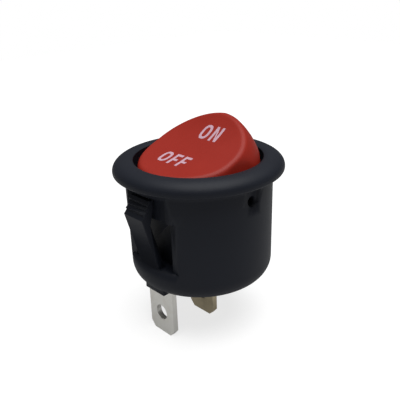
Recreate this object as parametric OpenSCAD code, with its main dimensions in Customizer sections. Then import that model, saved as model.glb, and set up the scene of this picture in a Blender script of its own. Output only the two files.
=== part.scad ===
// Round snap-in panel rocker switch with two flat terminals, in millimetres.
// The origin is the centre of the flange's underside, where the panel's front face lies.
// +Z points out of the panel, +X to the ON end of the rocker, and Y is the rocker's pivot axis.
// The switch is drawn at rest in its OFF position, with the OFF end of the rocker pressed in.

/* [Flange] */
// Diameter of the flange
flange_d = 23; // [22.4:0.1:26]
// Height of the flange's rounded rim
rim_h = 0.7; // [0.5:0.05:1]
// Height of the flange at the edge of the rocker's opening
flange_h = 2.45; // [2.2:0.05:3]
// Rise of the flange's curved top over a straight slope
flange_bulge = 0.22; // [0.1:0.02:0.4]

/* [Body] */
// Diameter of the body just under the flange
body_d = 19.9; // [19.7:0.05:20.2]
// Depth of the body under the flange
body_depth = 15.35; // [15:0.05:18]
// Taper of the body's radius, in degrees
body_taper = 0.7; // [0:0.1:1.5]
// Radius of the rounded bottom edge
bottom_fillet = 2.7; // [1:0.1:3]
// Thickness of the body's bottom wall
bottom_wall = 1; // [0.8:0.1:1.4]
// Length of the contact chamber along X
chamber_len = 13; // [12.8:0.1:13.4]
// Width of the contact chamber along Y
chamber_w = 8; // [6.4:0.1:9]

/* [Snap wings] */
// Width of each snap wing
wing_w = 3.75; // [3:0.05:4.5]
// Distance from the axis to the outer ridge of a wing
wing_reach = 11.3; // [10.9:0.05:11.4]
// Depth of the ridge under the flange
ridge_depth = 3.6; // [3.3:0.05:4.2]
// Thickness of a wing
wing_t = 1.05; // [0.8:0.05:1.2]
// Gap between the collar under the flange and the free end of a wing
wing_gap = 0.3; // [0.2:0.05:0.5]
// Number of ratchet steps above the ridge
wing_steps = 3; // [2:1:4]
// Depth of each ratchet step
step_notch = 0.14; // [0.08:0.02:0.2]
// Width of the pocket around a wing
pocket_w = 7.6; // [6:0.1:7.8]
// Height of the plain collar between the flange and a pocket
collar_h = 1; // [0.8:0.05:1.3]
// Depth under the flange where a pocket gets deeper
pocket_step = 4.1; // [4:0.05:4.4]
// Height of the solid ring between a pocket and the bottom of the body
ring_h = 4.15; // [4:0.05:4.7]
// Distance from the axis to the flats on both sides of a wing
flat_reach = 8.45; // [8.3:0.05:9]

/* [Rocker] */
// Length of the rocker over its rounded ends
rocker_len = 16.7; // [16.3:0.05:16.8]
// Width of the rocker over its flat cheeks
rocker_w = 16.1; // [15.7:0.05:16.2]
// Radius of the arc across the rocker's barrel-shaped side
barrel_r = 8.8; // [8.7:0.02:8.86]
// Height of the rocker's top over the pivot, in the middle
dish_h = 3.35; // [3:0.05:3.6]
// Radius of the hollow in the rocker's top
dish_r = 29.5; // [22:0.5:45]
// Height of the rocker's lower edge over the pivot
skirt_h = -0.9; // [-1.1:0.05:-0.6]
// Half of the rocker's whole travel, in degrees
rocker_tilt = 22; // [16:0.5:22]
// Wall thickness of the rocker
rocker_wall = 1.3; // [1:0.05:1.5]
// Diameter of the rocker's pivot stubs
stub_d = 1.6; // [1.2:0.1:1.7]
// Radial clearance of the stubs in the housing
stub_clear = 0.08; // [0.04:0.01:0.1]
// Gap between the rocker's sweep and the round well that it moves in
well_gap = 0.22; // [0.2:0.01:0.26]

/* [Plunger] */
// Diameter of the plunger
plunger_d = 2; // [1.6:0.1:2.2]
// Distance from the pivot to the plunger's upper end
plunger_top = 3.4; // [3:0.1:4]
// Gap between the plunger's tip and the lever in the middle of the travel
tip_gap = 0.44; // [0.4:0.02:0.6]
// Distance from the pivot to the lower end of the boss that guides the plunger
boss_reach = 6; // [5.4:0.1:6.6]
// Wall of the boss
boss_wall = 0.9; // [0.7:0.05:1.1]
// Wire diameter of the spring
spring_wire = 0.3; // [0.2:0.02:0.34]
// Number of turns of the spring
spring_turns = 7; // [4:1:9]

/* [Terminals] */
// Width of the flat terminals
tab_w = 4.8; // [4:0.1:5]
// Thickness of the flat terminals
tab_t = 0.8; // [0.6:0.05:0.85]
// Length of the terminals under the body
tab_len = 6.85; // [6:0.05:9]
// Distance between the two terminals
tab_pitch = 7.45; // [7.4:0.01:7.5]
// Diameter of the hole in a terminal
tab_hole_d = 2.2; // [1.4:0.1:2.4]
// Distance from a terminal's tip to its hole
tab_hole_up = 3.1; // [2.8:0.05:3.4]
// Width of the chamfer at a terminal's tip
tip_chamfer = 0.75; // [0.4:0.05:1]

/* [Contacts] */
// Height of the lever's fulcrum over the bottom of the body
fulcrum_up = 3.35; // [3.25:0.05:3.45]
// Thickness of the contact lever
lever_t = 0.6; // [0.5:0.05:0.7]
// Width of the contact lever
lever_w = 3.4; // [2.8:0.1:3.6]
// Rise of the lever's arms, in degrees
arm_rise = 13; // [12:0.5:14]
// Half of the lever's whole travel, in degrees
lever_tilt = 5.5; // [4.5:0.25:5.75]
// Distance from the fulcrum to the moving contact
contact_x = 4.9; // [4.6:0.05:5]
// Diameter of the contacts
contact_d = 2.4; // [2:0.1:2.6]

/* [Hidden] */
$fn = 96;

eps = 0.01;
far = 40;
fit_gap = 0.05;
slide_clear = 0.1;
seat_gap = 0.07;

flange_r = flange_d / 2;
body_r = body_d / 2;
body_low_r = body_r - (body_depth - collar_h) * tan(body_taper);
floor_z = -body_depth + bottom_wall;
pocket_end = body_depth - ring_h;

// Rocker: its side is turned about the pivot axis, so the gap round it stays the same as it rocks.
end_r = rocker_len / 2;
cheek = rocker_w / 2;
barrel_shift = barrel_r - end_r;
cheek_r = sqrt(barrel_r * barrel_r - cheek * cheek) - barrel_shift;
well_r = sqrt(cheek * cheek + cheek_r * cheek_r) + well_gap;
opening_r = sqrt(well_r * well_r - flange_h * flange_h);
well_floor = end_r * sin(rocker_tilt + asin(-skirt_h / end_r)) + well_gap;

// Ends of the pivot
stub_r = stub_d / 2;
stub_wall = 0.65;
stub_hole_end = body_r - stub_wall;
stub_end = stub_hole_end - slide_clear;
notch_r = 1;
notch_depth = 0.35;
notch_low = 1.9;
sight_hole_r = 0.7;

// Snap wings and their pockets, drawn on the -X side
well_wall = 0.4;
web_r = well_r + well_wall;
wing_top = collar_h + wing_gap;
wing_neck = body_r + 0.1;
wing_root = body_r - 0.7;
pocket_top_x = flat_reach - 0.15;
chamber_wall = 0.7;
pocket_low_x = chamber_len / 2 + chamber_wall;
wing_back = wing_t * 0.55;
ridge_back = wing_t * 1.15;
root_sink = 1;
root_rib_x = 8.75;
root_rib_up = 2.8;

// Plunger and its boss
plunger_r = plunger_d / 2;
bore_r = plunger_r + slide_clear;
boss_r = bore_r + boss_wall;
bore_end_wall = 0.45;
bore_top = dish_h - rocker_wall - bore_end_wall;
spring_r = bore_r - slide_clear - spring_wire / 2;
spring_sides = 8;
spring_rings = 16;

// Terminals: the load terminal stands on the -X side, the common terminal in the middle
tip_z = -body_depth - tab_len;
tip_slope = 1.15;
tip_rise = tip_chamfer * tip_slope;
hole_z = tip_z + tab_hole_up;
shelf_drop = 0.9;
shelf_top = -pocket_end - shelf_drop;
shelf_len = 4.4;
shelf_w = 4;
bend_inner_r = 0.2;
bend_r = tab_t + bend_inner_r;

// Contact lever, drawn about the fulcrum
fulcrum_z = -body_depth + fulcrum_up;
fulcrum_r = tab_t / 2;
groove_clear = 0.06;
groove_r = fulcrum_r + groove_clear;
lever_mid = groove_r + lever_t;
arm_drop = lever_t / cos(arm_rise);
lever_end_gap = 0.8;
lever_half = chamber_len / 2 - lever_end_gap;
saddle_half = 1;
saddle_low = 0.2;
ear_h = 1.6;
ear_gap = 0.1;

// The plunger reaches down to the lever, wherever the fulcrum is
plunger_reach = -fulcrum_z - lever_mid - tip_gap;
plunger_len = plunger_reach - plunger_top;

// Contacts: rivets with a shank, a closed tail and a head; the moving one has a domed face
contact_r = contact_d / 2;
head_t = 0.3;
dome_h = 0.25;
dome_r = (contact_r * contact_r + dome_h * dome_h) / (2 * dome_h);
shank_r = contact_r / 2;
tail_r = contact_r * 0.75;
tail_t = 0.2;
shank_clear = 0.02;

// Underside of a lever's arm at x, and its height after the lever is turned by a
function arm_low(x) = lever_mid - arm_drop + x * tan(arm_rise);
function turned_low(x, a) = (lever_mid - arm_drop) * cos(arm_rise) / cos(a) + x * tan(a);
dome_x = contact_x - (dome_r - head_t - dome_h) * sin(arm_rise);
dome_z = arm_low(contact_x) + (dome_r - head_t - dome_h) * cos(arm_rise);
closed_x = dome_x * cos(lever_tilt) + dome_z * sin(lever_tilt);
closed_z = fulcrum_z - dome_x * sin(lever_tilt) + dome_z * cos(lever_tilt) - dome_r;
fixed_head_t = closed_z - seat_gap - shelf_top;

stop_x = 3.5;
stop_len = 1;
stop_z = fulcrum_z + turned_low(stop_x, arm_rise - lever_tilt) - seat_gap;

// Repeats its children on the -X side and, turned half round, on the +X side
module both_sides() {
    for (a = [0, 180])
        rotate([0, 0, a])
            children();
}

// Extrudes an outline of X and Z along Y, with its middle at Y = 0
module along_y(width) {
    rotate([90, 0, 0])
        linear_extrude(width, center = true)
            children();
}

// Puts what is drawn about the rocker's pivot, or about the fulcrum, into its rest position
module rocker_rest() {
    rotate([0, -rocker_tilt, 0])
        children();
}

module lever_rest() {
    translate([0, 0, fulcrum_z])
        rotate([0, lever_tilt, 0])
            children();
}

// Half section of the flange: a curved slope with a fully rounded rim
module flange_section() {
    rim_r = rim_h / 2;
    slope_start = [flange_r - rim_r, rim_h];
    slope = [opening_r, flange_h] - slope_start;
    chord = norm(slope);
    arc_r = (chord * chord / 4 + flange_bulge * flange_bulge) / (2 * flange_bulge);
    arc_mid = slope_start + slope / 2;
    arc_centre = arc_mid + [-slope[1], slope[0]] / chord * (arc_r - flange_bulge);
    translate([flange_r - rim_r, rim_r])
        circle(rim_r);
    intersection() {
        translate(arc_centre)
            circle(arc_r);
        translate([body_r - 2, 0])
            square([flange_r - rim_r - body_r + 2, flange_h]);
    }
}

// Half section of the body: a short straight collar, a taper and a rounded bottom edge
module body_section() {
    fillet_z = -body_depth + bottom_fillet;
    fillet_r = body_r + (fillet_z + collar_h) * tan(body_taper);
    polygon([
        [0, 0],
        [body_r, 0],
        [body_r, -collar_h],
        [fillet_r, fillet_z],
        [0, fillet_z]
    ]);
    translate([0, -body_depth])
        square([fillet_r - bottom_fillet, bottom_fillet]);
    translate([fillet_r - bottom_fillet, fillet_z])
        circle(bottom_fillet);
}

// Round well that the rocker moves in: part of a sphere about the pivot
module rocker_well() {
    intersection() {
        sphere(well_r);
        translate([-far / 2, -far / 2, -well_floor])
            cube([far, far, far]);
    }
}

// Space for the lever and the terminals under the well
module contact_chamber() {
    translate([-chamber_len / 2, -chamber_w / 2, floor_z])
        cube([chamber_len, chamber_w, -floor_z]);
    shelf_room = tab_pitch + tab_t / 2 + slide_clear;
    translate([-shelf_room, -tab_w / 2 - slide_clear, floor_z])
        cube([shelf_room, tab_w + 2 * slide_clear, shelf_top + slide_clear - floor_z]);
}

// Pocket round a snap wing: a shallow slot at the top, a deeper sloping part and a flat beside it
module wing_pocket() {
    difference() {
        translate([-far, -pocket_w / 2, -pocket_step])
            cube([far, pocket_w, pocket_step - collar_h]);
        translate([0, 0, -body_depth])
            cylinder(h = body_depth, r = web_r);
    }
    along_y(pocket_w)
        polygon([
            [-far, -pocket_step - eps],
            [-pocket_top_x, -pocket_step],
            [-pocket_low_x, -pocket_end],
            [-far, -pocket_end]
        ]);
    translate([-far - flat_reach, -far / 2, -pocket_end])
        cube([far, far, pocket_end - pocket_step]);
}

// Snap wing: rooted in the ring under its pocket and free at the top, with ratchet steps
module snap_wing() {
    step_x = (wing_reach - wing_neck) / (wing_steps + 1);
    step_z = (ridge_depth - wing_top) / (wing_steps + 1);
    root_low = pocket_end + root_sink;
    root_x = wing_root - (root_low - pocket_end) * (wing_reach - wing_root) / (pocket_end - ridge_depth);
    along_y(wing_w)
        polygon([
            [-wing_neck + wing_back, -wing_top],
            [-wing_neck, -wing_top],
            for (i = [1:wing_steps]) each [
                [-wing_neck - i * step_x, -wing_top - i * step_z + step_notch],
                [-wing_neck - i * step_x + step_notch, -wing_top - i * step_z - step_notch / 2]
            ],
            [-wing_reach, -ridge_depth],
            [-root_x, -root_low],
            [-root_x + wing_t, -root_low],
            [-wing_reach + ridge_back, -ridge_depth - wing_t],
            [-wing_neck + wing_back, -ridge_depth + wing_t]
        ]);
}

// Rib that carries a wing's root down to the bottom of the body
module root_rib() {
    translate([-root_rib_x, -wing_w / 2, -body_depth])
        cube([root_rib_x - chamber_len / 2, wing_w, root_rib_up]);
}

// End of the pivot on the -Y side: a blind hole for a stub, and an open notch under the flange
module pivot_end() {
    rotate([90, 0, 0])
        cylinder(h = stub_hole_end, r = stub_r + stub_clear);
    translate([0, -body_r + notch_depth, -notch_low])
        rotate([90, 0, 0])
            cylinder(h = far, r = notch_r);
    translate([-notch_r, -far, -notch_low])
        cube([2 * notch_r, far - body_r + notch_depth, notch_low]);
    translate([0, -cheek, -notch_low - notch_r + sight_hole_r])
        rotate([90, 0, 0])
            cylinder(h = far, r = sight_hole_r);
}

module terminal_slot(x) {
    translate([x - tab_t / 2 - fit_gap, -tab_w / 2 - fit_gap, -body_depth - far / 2])
        cube([tab_t + 2 * fit_gap, tab_w + 2 * fit_gap, far / 2 + bottom_wall + eps]);
}

// Rib on the floor of the chamber that the lever rests on in the OFF position
module lever_stop() {
    translate([stop_x, -lever_w / 2, floor_z - eps])
        cube([stop_len, lever_w, stop_z - floor_z + eps]);
}

module housing() {
    color("#1b1f25") {
        difference() {
            union() {
                rotate_extrude()
                    flange_section();
                rotate_extrude()
                    intersection() {
                        body_section();
                        translate([0, -far])
                            square(far);
                    }
                both_sides()
                    root_rib();
            }
            rocker_well();
            contact_chamber();
            both_sides()
                wing_pocket();
            pivot_end();
            mirror([0, 1, 0])
                pivot_end();
            terminal_slot(-tab_pitch);
            terminal_slot(0);
        }
        both_sides()
            snap_wing();
        lever_stop();
    }
}

// Solid turned about the pivot axis, inset from the rocker's side by a wall
module barrel(wall) {
    rotate([90, 0, 0])
        rotate_extrude()
            intersection() {
                translate([-barrel_shift, 0])
                    circle(barrel_r - wall);
                translate([0, -cheek + wall])
                    square([far, 2 * (cheek - wall)]);
            }
}

// Round cutter along Y that hollows the rocker's top, or leaves the roof over its inside
module dish(roof) {
    translate([0, 0, dish_h + dish_r])
        rotate([90, 0, 0])
            cylinder(h = far, r = dish_r + roof, center = true);
}

module rocker() {
    color("#96362e")
        rocker_rest() {
            difference() {
                barrel(0);
                dish(0);
                translate([-far / 2, -far / 2, skirt_h - far])
                    cube(far);
                difference() {
                    barrel(rocker_wall);
                    dish(rocker_wall);
                }
            }
            difference() {
                translate([0, 0, -boss_reach])
                    cylinder(h = boss_reach + dish_h - rocker_wall / 2, r = boss_r);
                translate([0, 0, -boss_reach - eps])
                    cylinder(h = boss_reach + eps + bore_top, r = bore_r);
            }
            for (side = [-1, 1])
                translate([0, side * (cheek - rocker_wall / 2), 0])
                    rotate([-90 * side, 0, 0])
                        cylinder(h = stub_end - cheek + rocker_wall / 2, r = stub_r);
        }
}

// Outline of a terminal under the body, in Y and Z, up to the height z_top
module tab_outline(z_top) {
    half = tab_w / 2;
    polygon([
        [-half, z_top],
        [-half, tip_z + tip_rise],
        [-half + tip_chamfer, tip_z],
        [half - tip_chamfer, tip_z],
        [half, tip_z + tip_rise],
        [half, z_top]
    ]);
}

// Sheet of the terminals' thickness, standing across X, from an outline in Y and Z
module standing_sheet() {
    rotate([90, 0, 90])
        linear_extrude(tab_t, center = true)
            children();
}

module tab_hole(x) {
    translate([x, 0, hole_z])
        rotate([0, 90, 0])
            cylinder(h = 2 * tab_t, r = tab_hole_d / 2, center = true);
}

// Load terminal: its inner end is bent over into a shelf that carries the fixed contact
module load_terminal() {
    outer_x = -tab_pitch - tab_t / 2;
    color("#aeaba4")
        difference() {
            union() {
                translate([-tab_pitch, 0, 0])
                    standing_sheet()
                        tab_outline(floor_z);
                along_y(shelf_w)
                    difference() {
                        union() {
                            translate([outer_x, floor_z - eps])
                                square([tab_t, shelf_top - bend_r - floor_z + eps]);
                            translate([outer_x + bend_r, shelf_top - bend_r])
                                circle(bend_r);
                            translate([outer_x + bend_r, shelf_top - tab_t])
                                square([shelf_len - bend_r, tab_t]);
                        }
                        translate([outer_x + bend_r, shelf_top - bend_r])
                            circle(bend_r - tab_t);
                        translate([outer_x + bend_r, shelf_top - 2 * bend_r - eps])
                            square([shelf_len, 2 * bend_r - tab_t + eps]);
                        translate([outer_x + tab_t, shelf_top - 2 * bend_r - eps])
                            square([shelf_len, bend_r + eps]);
                    }
            }
            tab_hole(-tab_pitch);
            translate([-closed_x, 0, shelf_top - far / 2])
                cylinder(h = far, r = shank_r + shank_clear);
        }
}

// Common terminal: its inner end is a rounded fulcrum between two ears that keep the lever in place
module common_terminal() {
    color("#7a6f58")
        difference() {
            union() {
                standing_sheet()
                    difference() {
                        tab_outline(fulcrum_z + ear_h);
                        translate([-lever_w / 2 - ear_gap, fulcrum_z])
                            square([lever_w + 2 * ear_gap, far]);
                    }
                translate([0, 0, fulcrum_z])
                    rotate([90, 0, 0])
                        cylinder(h = lever_w + 2 * ear_gap, r = fulcrum_r, center = true);
            }
            tab_hole(0);
        }
}

module plunger() {
    color("#d8d8d0")
        rocker_rest() {
            translate([0, 0, plunger_r - plunger_reach])
                cylinder(h = plunger_len - plunger_r, r = plunger_r);
            translate([0, 0, plunger_r - plunger_reach])
                sphere(plunger_r);
        }
}

// Coil spring in the boss, between the end of the bore and the plunger
module plunger_spring() {
    wire_r = spring_wire / 2;
    low = -plunger_top + wire_r + eps;
    high = bore_top - wire_r - eps;
    count = spring_turns * spring_rings;
    function ring_point(i, j) =
        let (a = 360 * i / spring_rings, b = 360 * j / spring_sides, r = spring_r + wire_r * cos(b))
        [r * cos(a), r * sin(a), low + (high - low) * i / count + wire_r * sin(b)];
    points = [for (i = [0:count]) for (j = [0:spring_sides - 1]) ring_point(i, j)];
    side_faces = [for (i = [0:count - 1]) for (j = [0:spring_sides - 1])
        let (k = (j + 1) % spring_sides, a = i * spring_sides, b = a + spring_sides)
        [a + j, b + j, b + k, a + k]];
    first_face = [for (j = [0:spring_sides - 1]) j];
    last_face = [for (j = [spring_sides - 1:-1:0]) count * spring_sides + j];
    color("#8f9296")
        rocker_rest()
            polyhedron(points, concat(side_faces, [first_face, last_face]), convexity = 10);
}

// Half outline of the lever's bent sheet, toward one end, for x from 0 to lever_half
module arm_outline() {
    polygon([
        [0, lever_mid - arm_drop],
        [0, lever_mid],
        [lever_half, lever_mid + lever_half * tan(arm_rise)],
        [lever_half, arm_low(lever_half)]
    ]);
}

// Puts a moving contact, drawn with its head below the XY plane, on the underside of the -X arm
module on_arm() {
    translate([-contact_x, 0, arm_low(contact_x)])
        rotate([0, arm_rise, 0])
            children();
}

module contact_lever() {
    color("#b9925a")
        lever_rest()
            difference() {
                union() {
                    along_y(lever_w) {
                        arm_outline();
                        mirror([1, 0])
                            arm_outline();
                    }
                    translate([-saddle_half, -lever_w / 2, saddle_low])
                        cube([2 * saddle_half, lever_w, lever_mid - saddle_low]);
                }
                rotate([90, 0, 0])
                    cylinder(h = lever_w + far, r = groove_r, center = true);
                on_arm()
                    cylinder(h = far / 4, r = shank_r + shank_clear, center = true);
            }
}

module moving_contact() {
    color("#d0d2d4")
        lever_rest()
            on_arm() {
                translate([0, 0, -head_t])
                    cylinder(h = head_t, r = contact_r);
                translate([0, 0, -head_t])
                    intersection() {
                        translate([0, 0, dome_r - dome_h])
                            sphere(dome_r);
                        translate([0, 0, -dome_h])
                            cylinder(h = dome_h, r = contact_r);
                    }
                cylinder(h = lever_t, r = shank_r);
                translate([0, 0, lever_t])
                    cylinder(h = tail_t, r = tail_r);
            }
}

module fixed_contact() {
    color("#d0d2d4")
        translate([-closed_x, 0, shelf_top]) {
            cylinder(h = fixed_head_t, r = contact_r);
            translate([0, 0, -tab_t])
                cylinder(h = tab_t, r = shank_r);
            translate([0, 0, -tab_t - tail_t])
                cylinder(h = tail_t, r = tail_r);
        }
}

housing();
rocker();
load_terminal();
common_terminal();
plunger();
plunger_spring();
contact_lever();
moving_contact();
fixed_contact();
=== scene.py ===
# %% [markdown]
# # A round panel rocker switch
# The switch clips into a round hole in a panel. A black moulded housing carries a red
# rocker that tips between OFF and ON, and two flat tabs take the wires. The CAD model
# already has the sizes and the moving parts. This lesson dresses it: plastics and metals, a
# fuller bezel, soft edges, a spring, printed words, light and a camera.

# %% Load the CAD model as a fixed frame
import math

import bmesh
import bpy
import numpy as np
from mathutils import Matrix, Vector


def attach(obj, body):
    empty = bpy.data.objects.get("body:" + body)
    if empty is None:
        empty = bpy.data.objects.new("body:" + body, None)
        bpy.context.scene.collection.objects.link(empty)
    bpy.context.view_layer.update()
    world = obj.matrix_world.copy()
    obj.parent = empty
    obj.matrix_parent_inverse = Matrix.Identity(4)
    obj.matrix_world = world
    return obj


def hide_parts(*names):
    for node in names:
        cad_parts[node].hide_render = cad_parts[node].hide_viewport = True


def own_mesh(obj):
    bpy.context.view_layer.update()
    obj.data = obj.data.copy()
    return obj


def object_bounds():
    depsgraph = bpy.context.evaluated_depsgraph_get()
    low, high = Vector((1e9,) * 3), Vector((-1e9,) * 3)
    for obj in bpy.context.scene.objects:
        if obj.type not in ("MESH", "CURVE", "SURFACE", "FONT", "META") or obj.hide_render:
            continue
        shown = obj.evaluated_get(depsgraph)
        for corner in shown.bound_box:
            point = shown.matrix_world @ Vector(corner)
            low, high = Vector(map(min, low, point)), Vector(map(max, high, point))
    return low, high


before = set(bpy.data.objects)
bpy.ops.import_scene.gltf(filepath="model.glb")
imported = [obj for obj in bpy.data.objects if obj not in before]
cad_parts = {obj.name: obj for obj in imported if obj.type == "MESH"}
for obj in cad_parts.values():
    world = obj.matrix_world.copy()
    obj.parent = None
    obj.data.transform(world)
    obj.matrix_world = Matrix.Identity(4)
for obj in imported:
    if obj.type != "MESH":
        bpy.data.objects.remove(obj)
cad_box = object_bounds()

MM = 0.001
print("CAD nodes:", sorted(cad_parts))
print("CAD box in mm:", [[round(v / MM, 2) for v in corner] for corner in cad_box])

# %% [markdown]
# ## Helpers for meshes
# Every finished piece sits at the origin with its place in its own vertices, so that a
# pattern which reads Object coordinates stays where it is drawn. One helper turns points
# and faces in millimetres into such an object.

# %% Helper: a mesh object from points in millimetres
def make_piece(name, points_mm, faces, smooth=True):
    mesh = bpy.data.meshes.new(name)
    mesh.from_pydata([Vector(p) * MM for p in points_mm], [], faces)
    bm = bmesh.new()
    bm.from_mesh(mesh)
    bmesh.ops.recalc_face_normals(bm, faces=bm.faces)
    bm.to_mesh(mesh)
    bm.free()
    for polygon in mesh.polygons:
        polygon.use_smooth = smooth
    piece = bpy.data.objects.new(name, mesh)
    bpy.context.scene.collection.objects.link(piece)
    return piece


def dress(piece, body, material):
    piece.data.materials.clear()
    piece.data.materials.append(material)
    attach(piece, body)
    print(piece.name, "rides on", body, "with", len(piece.data.polygons), "faces")


# %% Helper: rings of points joined into a skin
def skin_of_rings(rings, capped=True):
    count = len(rings[0])
    points = [tuple(p) for ring in rings for p in ring]
    faces = []
    for k in range(len(rings) - 1):
        for i in range(count):
            j = (i + 1) % count
            a, b = k * count, (k + 1) * count
            faces.append((a + i, a + j, b + j, b + i))
    for k in (0, len(rings) - 1) if capped else ():
        middle = len(points)
        points.append(tuple(np.mean(np.array(rings[k]), axis=0)))
        faces += [(k * count + i, k * count + (i + 1) % count, middle) for i in range(count)]
    return points, faces


# %% [markdown]
# ## Shader maths
# A finish is a small network of nodes. Written one node at a time it is hard to read, so
# one class lets sums and products of values be typed as Python, and one method adds any
# other node. Colours and vectors never pass through a Math node, which would turn them grey.

# %% One class for values and one method for nodes
class Value:
    def __init__(self, finish, socket):
        self.finish, self.socket = finish, socket

    def maths(self, operation, a, b):
        return self.finish.add("ShaderNodeMath", {"operation": operation}, {0: a, 1: b})

    def __add__(self, other): return self.maths("ADD", self, other)
    def __radd__(self, other): return self.maths("ADD", other, self)
    def __sub__(self, other): return self.maths("SUBTRACT", self, other)
    def __rsub__(self, other): return self.maths("SUBTRACT", other, self)
    def __mul__(self, other): return self.maths("MULTIPLY", self, other)
    def __rmul__(self, other): return self.maths("MULTIPLY", other, self)


class Finish:
    def __init__(self, name):
        self.material = bpy.data.materials.new(name)
        self.material.use_nodes = True
        self.tree = self.material.node_tree
        self.tree.nodes.clear()

    def add(self, kind, settings=None, sockets=None, out=0):
        node = self.tree.nodes.new(kind)
        for key, value in (settings or {}).items():
            setattr(node, key, value)
        for key, value in (sockets or {}).items():
            if isinstance(value, Value):
                self.tree.links.new(value.socket, node.inputs[key])
            else:
                node.inputs[key].default_value = value
        return Value(self, node.outputs[out]) if len(node.outputs) else None

    def place(self, scale=(1, 1, 1)):
        here = self.add("ShaderNodeTexCoord", out="Object")
        return self.add("ShaderNodeMapping", sockets={"Vector": here, "Scale": scale})

    def noise(self, place, scale, detail=3.0, rough=0.5):
        return self.add("ShaderNodeTexNoise", sockets={
            "Vector": place, "Scale": scale, "Detail": detail, "Roughness": rough}, out="Fac")

    def blend(self, amount, low, high):
        return self.add("ShaderNodeMix", {"data_type": "RGBA"}, {
            "Factor": amount, 6: low if isinstance(low, Value) else (*low, 1),
            7: high if isinstance(high, Value) else (*high, 1)}, out=2)

    def spread(self, value, low, high):
        return self.add("ShaderNodeMapRange", {"clamp": True}, {
            "Value": value, "From Min": low, "From Max": high})

    def soft_edges(self, radius_mm):
        return self.add("ShaderNodeBevel", {"samples": 8}, {"Radius": radius_mm * MM})

    # Finds the edges, where the finishes paint a highlight in the colour.
    def painted_edge_highlight(self, rounded):
        flat = self.add("ShaderNodeNewGeometry", out="Normal")
        agree = self.add("ShaderNodeVectorMath", {"operation": "DOT_PRODUCT"},
                         {0: flat, 1: rounded}, out="Value")
        return self.spread(1 - agree, 0.01, 0.2)

    def done(self, constants, varying, height=None, relief_mm=0.01, normal=None):
        if height is not None:
            sockets = {"Height": height, "Strength": 1.0, "Distance": relief_mm * MM}
            if normal is not None:
                sockets["Normal"] = normal
            normal = self.add("ShaderNodeBump", sockets=sockets)
        sockets = {**constants, **varying}
        if normal is not None:
            sockets["Normal"] = normal
        shader = self.add("ShaderNodeBsdfPrincipled", sockets=sockets)
        self.add("ShaderNodeOutputMaterial", sockets={"Surface": shader})
        print("finish", self.material.name, "with", len(self.tree.nodes), "nodes")
        return self.material


# %% [markdown]
# ## Black moulded plastic
# The housing is satin black, with the fine grain that a spark-eroded mould leaves. Corners
# are never quite sharp, so a Bevel node rounds the light on them, and the same node finds
# the edges, which are painted a little paler as a painted highlight.

# %% Finish: satin black moulding
def satin_black():
    f = Finish("satin_black_moulding")
    here = f.place()
    cloud = f.noise(here, 180.0, 2.0)
    grain = f.noise(here, 9000.0, 3.0, 0.6)
    rounded = f.soft_edges(0.13)
    rim = f.painted_edge_highlight(rounded)
    dark = f.blend(cloud, (0.0100, 0.0120, 0.0185), (0.0135, 0.0160, 0.0240))
    # Painted highlight: the edges are painted paler than the black.
    colour = f.blend(rim * 0.3, dark, (0.028, 0.032, 0.042))
    rough = 0.44 + cloud * 0.08 + grain * 0.08
    return f.done({"IOR": 1.5, "Specular IOR Level": 0.2},
                  {"Base Color": colour, "Roughness": rough},
                  height=grain, relief_mm=0.006, normal=rounded)


black_plastic = satin_black()

# %% [markdown]
# ## Red moulded plastic
# The rocker is a brick red with a slightly shinier skin than the housing. Its colour is
# nearly even, so only a faint cloud and a very fine grain break it up.

# %% Finish: red moulding
def brick_red():
    f = Finish("brick_red_moulding")
    here = f.place()
    cloud = f.noise(here, 220.0, 3.0)
    grain = f.noise(here, 7000.0, 3.0, 0.55)
    colour = f.blend(cloud, (0.300, 0.0165, 0.0080), (0.350, 0.0215, 0.0110))
    rough = 0.40 + cloud * 0.08 + grain * 0.08
    return f.done({"IOR": 1.5, "Specular IOR Level": 0.25},
                  {"Base Color": colour, "Roughness": rough},
                  height=grain, relief_mm=0.004)


red_plastic = brick_red()

# %% [markdown]
# ## Printed ink
# The words are pad-printed in a pale ink that lets a little of the red through.

# %% Finish: pale ink
def pale_ink():
    f = Finish("pale_ink")
    here = f.place()
    cloud = f.noise(here, 2500.0, 3.0)
    colour = f.blend(cloud, (0.54, 0.32, 0.40), (0.66, 0.44, 0.52))
    return f.done({"IOR": 1.45}, {"Base Color": colour, "Roughness": 0.45 + cloud * 0.1})


ink = pale_ink()

# %% [markdown]
# ## Tabs and contacts
# The tabs are stamped from rolled sheet, which leaves fine lines along their length. One is
# tin plated and pale, and the other is bare brass that has gone dull. Metal shows its
# surroundings, so its roughness matters more than its colour.

# %% Finish: rolled metal
ROLLING_LINES = (9000, 9000, 500)


def rolled_metal(name, low, high, rough, stain, stain_amount):
    f = Finish(name)
    streaks = f.noise(f.place(ROLLING_LINES), 1.0, 3.0)
    cloud = f.noise(f.place(), 420.0, 4.0, 0.6)
    rounded = f.soft_edges(0.09)
    rim = f.painted_edge_highlight(rounded)
    body = f.blend(streaks * 0.6 + cloud * 0.4, low, high)
    stained = f.blend(f.spread(cloud, 0.45, 0.75) * stain_amount, body, stain)
    # Painted highlight: the stamped edges are painted paler, nearly white.
    colour = f.blend(rim * 0.3, stained, (0.9, 0.88, 0.85))
    return f.done({"Metallic": 1.0}, {
        "Base Color": colour, "Roughness": rough + cloud * 0.14 + streaks * 0.08},
        height=streaks * 0.7 + cloud * 0.3, relief_mm=0.006, normal=rounded)


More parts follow.
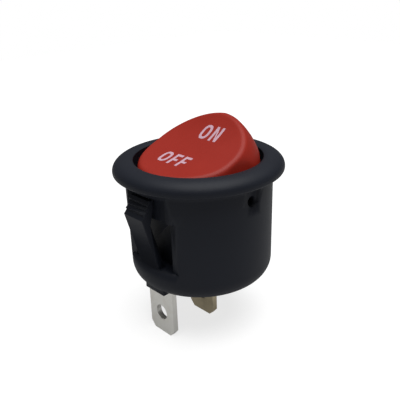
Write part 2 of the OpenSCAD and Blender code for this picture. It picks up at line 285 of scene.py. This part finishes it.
tin_plate = rolled_metal("tin_plate", (0.84, 0.83, 0.78), (0.95, 0.94, 0.90), 0.36,
                         stain=(0.66, 0.61, 0.52), stain_amount=0.4)
dull_brass = rolled_metal("dull_brass", (0.62, 0.53, 0.36), (0.76, 0.67, 0.48), 0.38,
                          stain=(0.46, 0.39, 0.26), stain_amount=0.6)
copper_strip = rolled_metal("copper_strip", (0.62, 0.40, 0.20), (0.76, 0.53, 0.30), 0.3,
                            stain=(0.4, 0.24, 0.12), stain_amount=0.4)
silver_rivet = rolled_metal("silver_rivet", (0.66, 0.66, 0.66), (0.80, 0.80, 0.79), 0.22,
                            stain=(0.45, 0.44, 0.42), stain_amount=0.3)
steel_wire = rolled_metal("steel_wire", (0.44, 0.45, 0.47), (0.60, 0.61, 0.63), 0.25,
                          stain=(0.3, 0.3, 0.3), stain_amount=0.3)

# %% Finish: natural plastic
def natural_nylon():
    f = Finish("natural_nylon")
    cloud = f.noise(f.place(), 500.0, 3.0)
    colour = f.blend(cloud, (0.66, 0.65, 0.58), (0.76, 0.75, 0.69))
    return f.done({"IOR": 1.52}, {"Base Color": colour, "Roughness": 0.35 + cloud * 0.15})


natural_plastic = natural_nylon()

# %% [markdown]
# ## CAD pieces that stay
# The tabs, the plunger and the contact parts already have the shape they need, so they only
# change their finish.

# %% Give the CAD nodes their finishes
for node, material in {
    "load_terminal": tin_plate, "common_terminal": dull_brass,
    "plunger": natural_plastic, "contact_lever": copper_strip,
    "moving_contact": silver_rivet, "fixed_contact": silver_rivet,
}.items():
    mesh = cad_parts[node].data
    mesh.materials.clear()
    mesh.materials.append(material)
    print(node, "wears", material.name, "on", len(mesh.polygons), "triangles")

# %% [markdown]
# ## The bezel
# The flange that rests on the panel is a full, rounded bezel: it climbs steeply from a thin
# rim, turns over in a crest, and dips a little to the round opening. A merged copy of the
# housing loses its plain flange, and a turned skin takes its place. Below the flange the
# housing keeps the CAD shape.

# %% Sizes of the bezel in millimetres
WELL_R = 8.848
RIM_R, RIM_TOP = 11.5, 0.48
RIM_FOOT = [(11.4844, 0.25), (11.4965, 0.33), (RIM_R, 0.4)]
CREST_R, CREST_H = 9.35, 1.9
OPENING_H, OPENING_EDGE, OPENING_DROP = 1.7, 0.08, 0.05
SKIN_LOW, WELL_LOW = RIM_FOOT[0][1], 1.0
FLANGE_INNER_R = 9.8
BEZEL_SIDES = 288
SHARP_ANGLE = math.radians(32)


def bezel_outline():
    """(radius, height) pairs from the rim, over the crest, to the wall of the well."""
    rise = [(CREST_R + (RIM_R - CREST_R) * math.cos(a), RIM_TOP + (CREST_H - RIM_TOP) * math.sin(a))
            for a in np.linspace(0, math.pi / 2, 25)]
    opening_r = math.sqrt(WELL_R**2 - OPENING_H**2)
    inward = opening_r + OPENING_EDGE - CREST_R
    down = CREST_H - OPENING_H - OPENING_DROP
    dip = [(CREST_R + inward * t, CREST_H - down * t * t) for t in np.linspace(0, 1, 9)[1:]]
    well = [(math.sqrt(WELL_R**2 - h * h), h) for h in np.linspace(OPENING_H, WELL_LOW, 10)]
    return RIM_FOOT + rise + dip + well


# %% Build the bezel on a copy of the housing
def bezelled_housing():
    bm = bmesh.new()
    bm.from_mesh(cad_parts["housing"].data)
    bmesh.ops.remove_doubles(bm, verts=bm.verts, dist=1e-7)
    for height in (SKIN_LOW, WELL_LOW):
        bmesh.ops.bisect_plane(bm, geom=bm.verts[:] + bm.edges[:] + bm.faces[:],
                               plane_co=(0, 0, height * MM), plane_no=(0, 0, 1))
    gone = []
    for face in bm.faces:
        x, y, z = face.calc_center_median() / MM
        if z > WELL_LOW or (z > SKIN_LOW and math.hypot(x, y) > FLANGE_INNER_R):
            gone.append(face)
    bmesh.ops.delete(bm, geom=gone, context="FACES")
    angles = np.linspace(0, 2 * math.pi, BEZEL_SIDES, endpoint=False)
    rings = [[bm.verts.new((r * math.cos(a) * MM, r * math.sin(a) * MM, h * MM)) for a in angles]
             for r, h in bezel_outline()]
    for low, high in zip(rings, rings[1:]):
        for i in range(BEZEL_SIDES):
            j = (i + 1) % BEZEL_SIDES
            bm.faces.new((low[i], low[j], high[j], high[i]))
    mesh = bpy.data.meshes.new("housing_shell")
    bm.to_mesh(mesh)
    bm.free()
    for polygon in mesh.polygons:
        polygon.use_smooth = True
    mesh.set_sharp_from_angle(angle=SHARP_ANGLE)
    piece = bpy.data.objects.new("housing_shell", mesh)
    bpy.context.scene.collection.objects.link(piece)
    print("removed", len(gone), "faces of the plain flange")
    return piece


housing_shell = bezelled_housing()
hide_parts("housing")
dress(housing_shell, "base", black_plastic)

# %% [markdown]
# ## The rocker
# The rocker's ends are part of a barrel about the pivot, its cheeks are nearly flat, its top
# is a hollow, and a soft round joins top and side. Ends and cheeks lean a little, as moulded
# walls do, and a high power blends one into the other so that no sharp corner is left. A
# modifier could bevel the CAD mesh, but its long thin triangles give ragged bevels. The shape
# follows a rule, so it is worked out point by point instead: rings of points run from the
# middle of the top, over the edge, down the side, round the lower edge, and back up inside.

# %% Sizes of the rocker in millimetres
TILT = math.radians(22)
BARREL_R, BARREL_SHIFT, CHEEK, CHEEK_DRAFT = 8.8, 0.5, 8.05, 0.16
END_LEAN, END_LEAN_FROM = 0.07, 2
DISH_H, DISH_R = 2.95, 19.0
SKIRT_H, WALL = -0.9, 1.3
EDGE_ROUND, LOW_ROUND, CORNER = 0.8, 0.12, 18
AROUND, SMOOTHED_OVER = 240, 9


def to_rest(points):
    """Turns points drawn about the pivot into the OFF position."""
    p = np.asarray(points, float)
    c, s = math.cos(TILT), math.sin(TILT)
    return np.column_stack([p[:, 0] * c - p[:, 2] * s, p[:, 1], p[:, 0] * s + p[:, 2] * c])


# %% Rule for the rocker's side and top
def top_height(x, roof=0.0):
    return DISH_H + DISH_R - np.sqrt((DISH_R + roof) ** 2 - x**2)


def inside_barrel(r, theta, h, wall):
    x, y = r * np.cos(theta), r * np.sin(theta)
    side = np.abs(y) + CHEEK_DRAFT * np.maximum(h, 0)
    across = np.sqrt(np.maximum((BARREL_R - wall) ** 2 - side**2, 0)) - BARREL_SHIFT
    across = across + END_LEAN * (h - END_LEAN_FROM)
    end_share = np.hypot(x, h) / np.maximum(across, 0.05)
    return (side / (CHEEK - wall)) ** CORNER + end_share**CORNER <= 1


def furthest(test, theta):
    low, high = np.zeros_like(theta), np.full_like(theta, 10.0)
    for _ in range(40):
        middle = (low + high) / 2
        good = test(middle)
        low, high = np.where(good, middle, low), np.where(good, high, middle)
    return low


def side_reach(theta, h, wall=0.0):
    return furthest(lambda r: inside_barrel(r, theta, h, wall), theta)


def rim_reach(theta, wall=0.0, roof=0.0):
    def inside(r):
        return inside_barrel(r, theta, top_height(r * np.cos(theta), roof), wall)
    return furthest(inside, theta)


theta = np.linspace(0, 2 * math.pi, AROUND, endpoint=False)
rim_r = rim_reach(theta)
rim_h = top_height(rim_r * np.cos(theta))
print("rocker rim from", rim_h.min().round(2), "to", rim_h.max().round(2), "mm above the pivot")

# %% Rings of the rocker's skin
def ring(r, h):
    return np.column_stack([r * np.cos(theta), r * np.sin(theta), h])


def rocker_rings():
    # At the corner of top and side, two short steps tell how sharp the corner is.
    step = 0.02
    corner = np.stack([rim_r, rim_h], 1)
    below = np.stack([side_reach(theta, rim_h - step), rim_h - step], 1) - corner
    inward = np.stack([rim_r - step, top_height((rim_r - step) * np.cos(theta))], 1) - corner
    below /= np.linalg.norm(below, axis=1)[:, None]
    inward /= np.linalg.norm(inward, axis=1)[:, None]
    half = np.arccos(np.clip((below * inward).sum(1), -1, 1)) / 2
    reach = EDGE_ROUND / np.tan(half)
    wrapped = np.concatenate([reach[-SMOOTHED_OVER:], reach, reach[:SMOOTHED_OVER]])
    average = np.full(SMOOTHED_OVER, 1 / SMOOTHED_OVER)
    reach = np.convolve(wrapped, average, "same")[SMOOTHED_OVER:-SMOOTHED_OVER]
    top_r = rim_r + inward[:, 0] * reach
    top_end = np.stack([top_r, top_height(top_r * np.cos(theta))], 1)
    side_h = rim_h + below[:, 1] * reach
    side_end = np.stack([side_reach(theta, side_h), side_h], 1)
    # The top, from its middle to where the round starts.
    rings = []
    for t in np.linspace(0.06, 1, 22):
        r = top_r * t
        rings.append(ring(r, top_height(r * np.cos(theta))))
    # The round, as an arc drawn with a weighted curve.
    weight = np.sin(half)[:, None]
    for t in np.linspace(0, 1, 9)[1:]:
        a, b, c = (1 - t) ** 2, 2 * t * (1 - t) * weight, t * t
        p = (a * top_end + b * corner + c * side_end) / (a + b + c)
        rings.append(ring(p[:, 0], p[:, 1]))
    # The side, and the small round at its foot.
    for t in np.linspace(0, 1, 20)[1:]:
        h = side_h * (1 - t) + (SKIRT_H + LOW_ROUND) * t
        rings.append(ring(side_reach(theta, h), h))
    base_r = side_reach(theta, np.full_like(theta, SKIRT_H))
    for a in np.linspace(0, math.pi / 2, 4)[1:]:
        rings.append(ring(base_r - LOW_ROUND * (1 - math.cos(a)),
                          np.full_like(theta, SKIRT_H + LOW_ROUND * (1 - math.sin(a)))))
    # The inside, up the wall and in under the roof.
    inner_rim = rim_reach(theta, WALL, WALL)
    inner_h = top_height(inner_rim * np.cos(theta), WALL)
    for t in np.linspace(0, 1, 8):
        h = SKIRT_H * (1 - t) + inner_h * t
        rings.append(ring(side_reach(theta, h, WALL), h))
    for t in np.linspace(1, 0.08, 10)[1:]:
        r = inner_rim * t
        rings.append(ring(r, top_height(r * np.cos(theta), WALL)))
    return rings


points, faces = skin_of_rings([to_rest(r) for r in rocker_rings()])
rocker_cap = make_piece("rocker_cap", points, faces)
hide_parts("rocker")
dress(rocker_cap, "rocker", red_plastic)

# %% [markdown]
# ## Pivot stubs, plunger boss and spring
# Under the red skin the rocker has a tube that guides a spring-loaded plunger, and a stub on
# each cheek that turns in the housing. The tube and the stubs are round, so their outlines
# are simply turned. The spring is wire on a helix, which is a job for Geometry Nodes.

# %% Helper: a turned piece
def turned(name, outline, sides=64, closed=False):
    """outline holds (radius, height) pairs in millimetres, and the axis is Z."""
    angles = np.linspace(0, 2 * math.pi, sides, endpoint=False)
    rings = [np.column_stack([r * np.cos(angles), r * np.sin(angles), np.full(sides, h)])
             for r, h in outline]
    if closed:
        rings.append(rings[0])
    points, faces = skin_of_rings(rings, capped=not closed)
    piece = make_piece(name, points, faces)
    if closed:
        bm = bmesh.new()
        bm.from_mesh(piece.data)
        bmesh.ops.remove_doubles(bm, verts=bm.verts, dist=1e-7)
        bmesh.ops.recalc_face_normals(bm, faces=bm.faces)
        bm.to_mesh(piece.data)
        bm.free()
    return piece


def lay_down(piece, matrix):
    piece.data.transform(matrix)
    piece.data.update()


REST = Matrix.Rotation(-TILT, 4, "Y")

# %% The boss and the stubs
BOSS_R, BOSS_LOW, BOSS_TOP, BOSS_EDGE = 2.0, -6.0, 2.3, 0.15
BORE_R, BORE_TOP, BORE_EDGE = 1.1, 1.6, 0.1
NEAR_AXIS = 0.02
boss = turned("plunger_boss", [
    (BORE_R, BORE_TOP), (BORE_R, BOSS_LOW + BORE_EDGE), (BORE_R + BORE_EDGE, BOSS_LOW),
    (BOSS_R - BOSS_EDGE, BOSS_LOW), (BOSS_R, BOSS_LOW + BOSS_EDGE), (BOSS_R, BOSS_TOP),
    (NEAR_AXIS, BOSS_TOP), (NEAR_AXIS, BORE_TOP)], closed=True)
lay_down(boss, REST)
dress(boss, "rocker", red_plastic)

STUB_R, STUB_ROOT, STUB_END, STUB_EDGE = 0.8, CHEEK - 0.4, 9.2, 0.12
stub = turned("pivot_stubs", [(STUB_R, STUB_ROOT), (STUB_R, STUB_END - STUB_EDGE),
                              (STUB_R - STUB_EDGE, STUB_END)], 40)
bm = bmesh.new()
bm.from_mesh(stub.data)
bm.transform(Matrix.Rotation(-math.pi / 2, 4, "X"))
other = bmesh.ops.duplicate(bm, geom=bm.verts[:] + bm.edges[:] + bm.faces[:])["geom"]
bmesh.ops.rotate(bm, verts=[g for g in other if isinstance(g, bmesh.types.BMVert)],
                 matrix=Matrix.Rotation(math.pi, 3, "X"))
bmesh.ops.recalc_face_normals(bm, faces=bm.faces)
bm.to_mesh(stub.data)
bm.free()
lay_down(stub, REST)
dress(stub, "rocker", red_plastic)

# %% The spring, as a tree of Geometry Nodes
SPRING_TOP, SPRING_LENGTH, PLUNGER_TRAVEL = 1.44, 4.68, 0.8
SPRING_SIZES = {"Coil radius": 0.85 * MM, "Turns": 7.0,
                "Low end": (SPRING_TOP - SPRING_LENGTH) * MM, "Length": SPRING_LENGTH * MM,
                "Wire radius": 0.15 * MM, "Tilt": -TILT}


def spring_tree():
    tree = bpy.data.node_groups.new("coil_spring", "GeometryNodeTree")
    face = tree.interface
    for name, value in SPRING_SIZES.items():
        face.new_socket(name, in_out="INPUT", socket_type="NodeSocketFloat").default_value = value
    face.new_socket("Material", in_out="INPUT", socket_type="NodeSocketMaterial")
    face.new_socket("Geometry", in_out="OUTPUT", socket_type="NodeSocketGeometry")
    new, link = tree.nodes.new, tree.links.new
    given, result = new("NodeGroupInput"), new("NodeGroupOutput")
    helix = new("GeometryNodeCurveSpiral")
    helix.inputs["Resolution"].default_value = 24
    for name, source in (("Rotations", "Turns"), ("Start Radius", "Coil radius"),
                         ("End Radius", "Coil radius"), ("Height", "Length")):
        link(given.outputs[source], helix.inputs[name])
    wire = new("GeometryNodeCurvePrimitiveCircle")
    wire.inputs["Resolution"].default_value = 8
    link(given.outputs["Wire radius"], wire.inputs["Radius"])
    sweep = new("GeometryNodeCurveToMesh")
    sweep.inputs["Fill Caps"].default_value = True
    link(helix.outputs["Curve"], sweep.inputs["Curve"])
    link(wire.outputs["Curve"], sweep.inputs["Profile Curve"])
    lift, lean = new("ShaderNodeCombineXYZ"), new("ShaderNodeCombineXYZ")
    link(given.outputs["Low end"], lift.inputs["Z"])
    link(given.outputs["Tilt"], lean.inputs["Y"])
    raised, leaning = new("GeometryNodeTransform"), new("GeometryNodeTransform")
    link(sweep.outputs["Mesh"], raised.inputs["Geometry"])
    link(lift.outputs["Vector"], raised.inputs["Translation"])
    link(raised.outputs["Geometry"], leaning.inputs["Geometry"])
    link(lean.outputs["Vector"], leaning.inputs["Rotation"])
    real, paint = new("GeometryNodeRealizeInstances"), new("GeometryNodeSetMaterial")
    link(leaning.outputs["Geometry"], real.inputs["Geometry"])
    link(real.outputs["Geometry"], paint.inputs["Geometry"])
    link(given.outputs["Material"], paint.inputs["Material"])
    link(paint.outputs["Geometry"], result.inputs["Geometry"])
    return tree


def grown(name, tree, **inputs):
    """Runs a tree on an empty mesh and returns the result as a plain mesh object."""
    seed = bpy.data.objects.new(name + "_seed", bpy.data.meshes.new(name + "_seed"))
    bpy.context.scene.collection.objects.link(seed)
    modifier = seed.modifiers.new("grow", "NODES")
    modifier.node_group = tree
    sockets = {s.name: s.identifier for s in tree.interface.items_tree if s.in_out == "INPUT"}
    for key, value in inputs.items():
        modifier[sockets[key]] = value
    graph = bpy.context.evaluated_depsgraph_get()
    mesh = bpy.data.meshes.new_from_object(seed.evaluated_get(graph))
    bpy.data.objects.remove(seed)
    piece = bpy.data.objects.new(name, mesh)
    mesh.name = name
    bpy.context.scene.collection.objects.link(piece)
    for polygon in mesh.polygons:
        polygon.use_smooth = True
    return piece


spring = grown("return_spring", spring_tree(), Material=steel_wire)
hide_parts("plunger_spring")
dress(spring, "rocker", steel_wire)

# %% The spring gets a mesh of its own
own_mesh(spring)
print("the spring gives up", PLUNGER_TRAVEL, "mm of its", SPRING_LENGTH, "mm")

# %% [markdown]
# ## The words OFF and ON
# Both words are printed in plain capitals across the rocker. Each letter is an outline of
# constant stroke width. The outlines are filled, cut into narrow strips, and laid on the
# hollow of the rocker's top, just proud of it as a coat of ink is.

# %% Outlines of the letters in millimetres
STROKE, SQUARENESS = 0.41, 2.5


def squared(value):
    return math.copysign(abs(value) ** (2 / SQUARENESS), value)


def oval(width, height, middle):
    """An ellipse with slightly squared sides, as the O of plain capitals has."""
    angles = np.linspace(0, 2 * math.pi, 40, endpoint=False)
    return [(middle[0] + width / 2 * squared(c), middle[1] + height / 2 * squared(s))
            for c, s in zip(np.cos(angles), np.sin(angles))]


def letter_o(width, height):
    middle = (width / 2, height / 2)
    return [oval(width, height, middle), oval(width - 2 * STROKE, height - 2 * STROKE, middle)]


def letter_f(width, height):
    s, bar = STROKE, height * 0.56
    return [[(0, 0), (s, 0), (s, bar - s), (width * 0.88, bar - s), (width * 0.88, bar), (s, bar),
             (s, height - s), (width, height - s), (width, height), (0, height)]]


def letter_n(width, height):
    s = STROKE
    lean = s * 1.25
    return [[(0, 0), (s, 0), (s, height - lean * 1.35), (width - s, 0), (width, 0), (width, height),
             (width - s, height), (width - s, lean * 1.35), (s, height), (0, height)]]


# %% Helper: a word laid on the rocker's top
STRIP, TALLEST, INK_ABOVE, INK_BELOW = 0.2, 3, 0.018, -0.03


def printed_word(name, letters, low_x, start_y):
    """letters holds (outline, place along the word); letters stand along +X and run along -Y."""
    curve = bpy.data.curves.new(name, "CURVE")
    curve.dimensions, curve.fill_mode = "2D", "BOTH"
    for outlines, along in letters:
        for outline in outlines:
            spline = curve.splines.new("POLY")
            spline.points.add(len(outline) - 1)
            for point, (u, v) in zip(spline.points, outline):
                point.co = (low_x + v, start_y - along - u, 0, 1)
            spline.use_cyclic_u = True
    flat = bpy.data.objects.new(name + "_outline", curve)
    bpy.context.scene.collection.objects.link(flat)
    graph = bpy.context.evaluated_depsgraph_get()
    mesh = bpy.data.meshes.new_from_object(flat.evaluated_get(graph))
    bpy.data.objects.remove(flat)
    bm = bmesh.new()
    bm.from_mesh(mesh)
    bmesh.ops.remove_doubles(bm, verts=bm.verts, dist=1e-4)
    for x in np.arange(low_x, low_x + TALLEST, STRIP):
        bmesh.ops.bisect_plane(bm, geom=bm.verts[:] + bm.edges[:] + bm.faces[:],
                               plane_co=(x, 0, 0), plane_no=(1, 0, 0))
    for vertex in bm.verts:
        vertex.co.z = 0.0
    bmesh.ops.recalc_face_normals(bm, faces=bm.faces)
    for face in bm.faces:
        if face.normal.z < 0:
            face.normal_flip()
    coat = bmesh.ops.extrude_face_region(bm, geom=bm.faces[:])["geom"]
    raised = {g for g in coat if isinstance(g, bmesh.types.BMVert)}
    for vertex in bm.verts:
        coat_edge = INK_ABOVE if vertex in raised else INK_BELOW
        vertex.co.z = float(top_height(vertex.co.x)) + coat_edge
    bmesh.ops.recalc_face_normals(bm, faces=bm.faces)
    bm.transform(Matrix.Scale(MM, 4))
    bm.transform(REST)
    mesh = bpy.data.meshes.new(name)
    bm.to_mesh(mesh)
    bm.free()
    piece = bpy.data.objects.new(name, mesh)
    bpy.context.scene.collection.objects.link(piece)
    dress(piece, "rocker", ink)
    return piece


# %% Print OFF and ON
O_WIDE, F_WIDE, N_WIDE = 1.6, 1.2, 1.4
OFF_TALL, OFF_LOW_X, OFF_START_Y = 2.35, -3.75, 3.2
ON_TALL, ON_LOW_X, ON_START_Y = 2.5, 2.3, 1.3
SECOND_LETTER, THIRD_LETTER = 2.1, 3.75
printed_word("word_off", [
    (letter_o(O_WIDE, OFF_TALL), 0.0),
    (letter_f(F_WIDE, OFF_TALL), SECOND_LETTER),
    (letter_f(F_WIDE, OFF_TALL), THIRD_LETTER)], OFF_LOW_X, OFF_START_Y)
printed_word("word_on", [
    (letter_o(O_WIDE, ON_TALL), 0.0),
    (letter_n(N_WIDE, ON_TALL), SECOND_LETTER)], ON_LOW_X, ON_START_Y)

# %% [markdown]
# ## Floor, light and camera
# The floor and the surround look white to the camera, but they light the switch only a
# little, so that the black plastic keeps its depth. One broad lamp hangs almost straight
# overhead. It brightens every edge that turns upward and leaves the sides darker.

# %% Floor
FLOOR_REACH, FLOOR_GAP = 260, 0.02
FLOOR_GLOW = 0.75
corners = [(x * FLOOR_REACH, y * FLOOR_REACH, 0) for x, y in ((-1, -1), (1, -1), (1, 1), (-1, 1))]
floor = make_piece("floor", corners, [(0, 1, 2, 3)], smooth=False)
floor.data.transform(Matrix.Translation((0, 0, cad_box[0].z - FLOOR_GAP * MM)))
paper = Finish("pale_paper")
seen_directly = paper.add("ShaderNodeLightPath", out="Is Camera Ray")
fibres = paper.noise(paper.place(), 30.0)
floor.data.materials.append(paper.done({"Roughness": 0.9, "Emission Strength": FLOOR_GLOW}, {
    "Base Color": paper.blend(fibres, (0.36, 0.36, 0.36), (0.39, 0.39, 0.39)),
    "Emission Color": paper.blend(seen_directly, (0.25, 0.25, 0.25), (1, 1, 1))}))

# %% Surround
SURROUND_LIGHT, SURROUND_SEEN = 0.14, 1.0
world = bpy.data.worlds.new("white_surround")
world.use_nodes = True
sky = world.node_tree
glow = sky.nodes["Background"]
glow.inputs["Color"].default_value = (1, 1, 1, 1)
seen = sky.nodes.new("ShaderNodeLightPath")
level = sky.nodes.new("ShaderNodeMapRange")
level.inputs["To Min"].default_value = SURROUND_LIGHT
level.inputs["To Max"].default_value = SURROUND_SEEN
sky.links.new(seen.outputs["Is Camera Ray"], level.inputs["Value"])
sky.links.new(level.outputs["Result"], glow.inputs["Strength"])
bpy.context.scene.world = world
print("surround gives", SURROUND_LIGHT, "of the light that the camera sees in it")

# %% Lamp
LAMP_PLACE, LAMP_AIM = (20, -60, 500), (0, 0, -6)
LAMP_WIDTH, LAMP_WATTS = 620, 3.45
light = bpy.data.lights.new("overhead_softbox", "AREA")
light.shape, light.size, light.energy = "DISK", LAMP_WIDTH * MM, LAMP_WATTS
lamp = bpy.data.objects.new("overhead_softbox", light)
lamp.location = Vector(LAMP_PLACE) * MM
lamp.rotation_mode = "QUATERNION"
lamp.rotation_quaternion = (Vector(LAMP_AIM) * MM - lamp.location).to_track_quat("-Z", "Y")
bpy.context.scene.collection.objects.link(lamp)
print("lamp", lamp.name, "of", LAMP_WATTS, "W at", LAMP_PLACE, "mm")

# %% Camera
AZIMUTH, ELEVATION, ROLL = math.radians(-131.837), math.radians(22.566), math.radians(-2.195)
TARGET_H, TARGET_SIDE, DISTANCE = -4.718, 0.028, 79.057
SENSOR, LENS = 36, 51.79
outward = Vector((math.cos(ELEVATION) * math.cos(AZIMUTH),
                  math.cos(ELEVATION) * math.sin(AZIMUTH), math.sin(ELEVATION)))
level_right = Vector((-math.sin(AZIMUTH), math.cos(AZIMUTH), 0))
level_up = outward.cross(level_right)
right = level_right * math.cos(ROLL) + level_up * math.sin(ROLL)
up = -level_right * math.sin(ROLL) + level_up * math.cos(ROLL)
eye = (Vector((0, 0, TARGET_H)) + level_right * TARGET_SIDE + outward * DISTANCE) * MM
camera_data = bpy.data.cameras.new("camera")
camera_data.sensor_width, camera_data.lens = SENSOR, LENS
camera_data.clip_start, camera_data.clip_end = 0.002, 20
camera = bpy.data.objects.new("camera", camera_data)
camera.rotation_mode = "QUATERNION"
camera.location = eye
camera.rotation_quaternion = Matrix((right, up, outward)).transposed().to_quaternion()
bpy.context.scene.collection.objects.link(camera)
bpy.context.scene.camera = camera
bpy.context.scene.view_settings.view_transform = "Standard"
print("camera", [round(v / MM, 2) for v in eye], "mm")
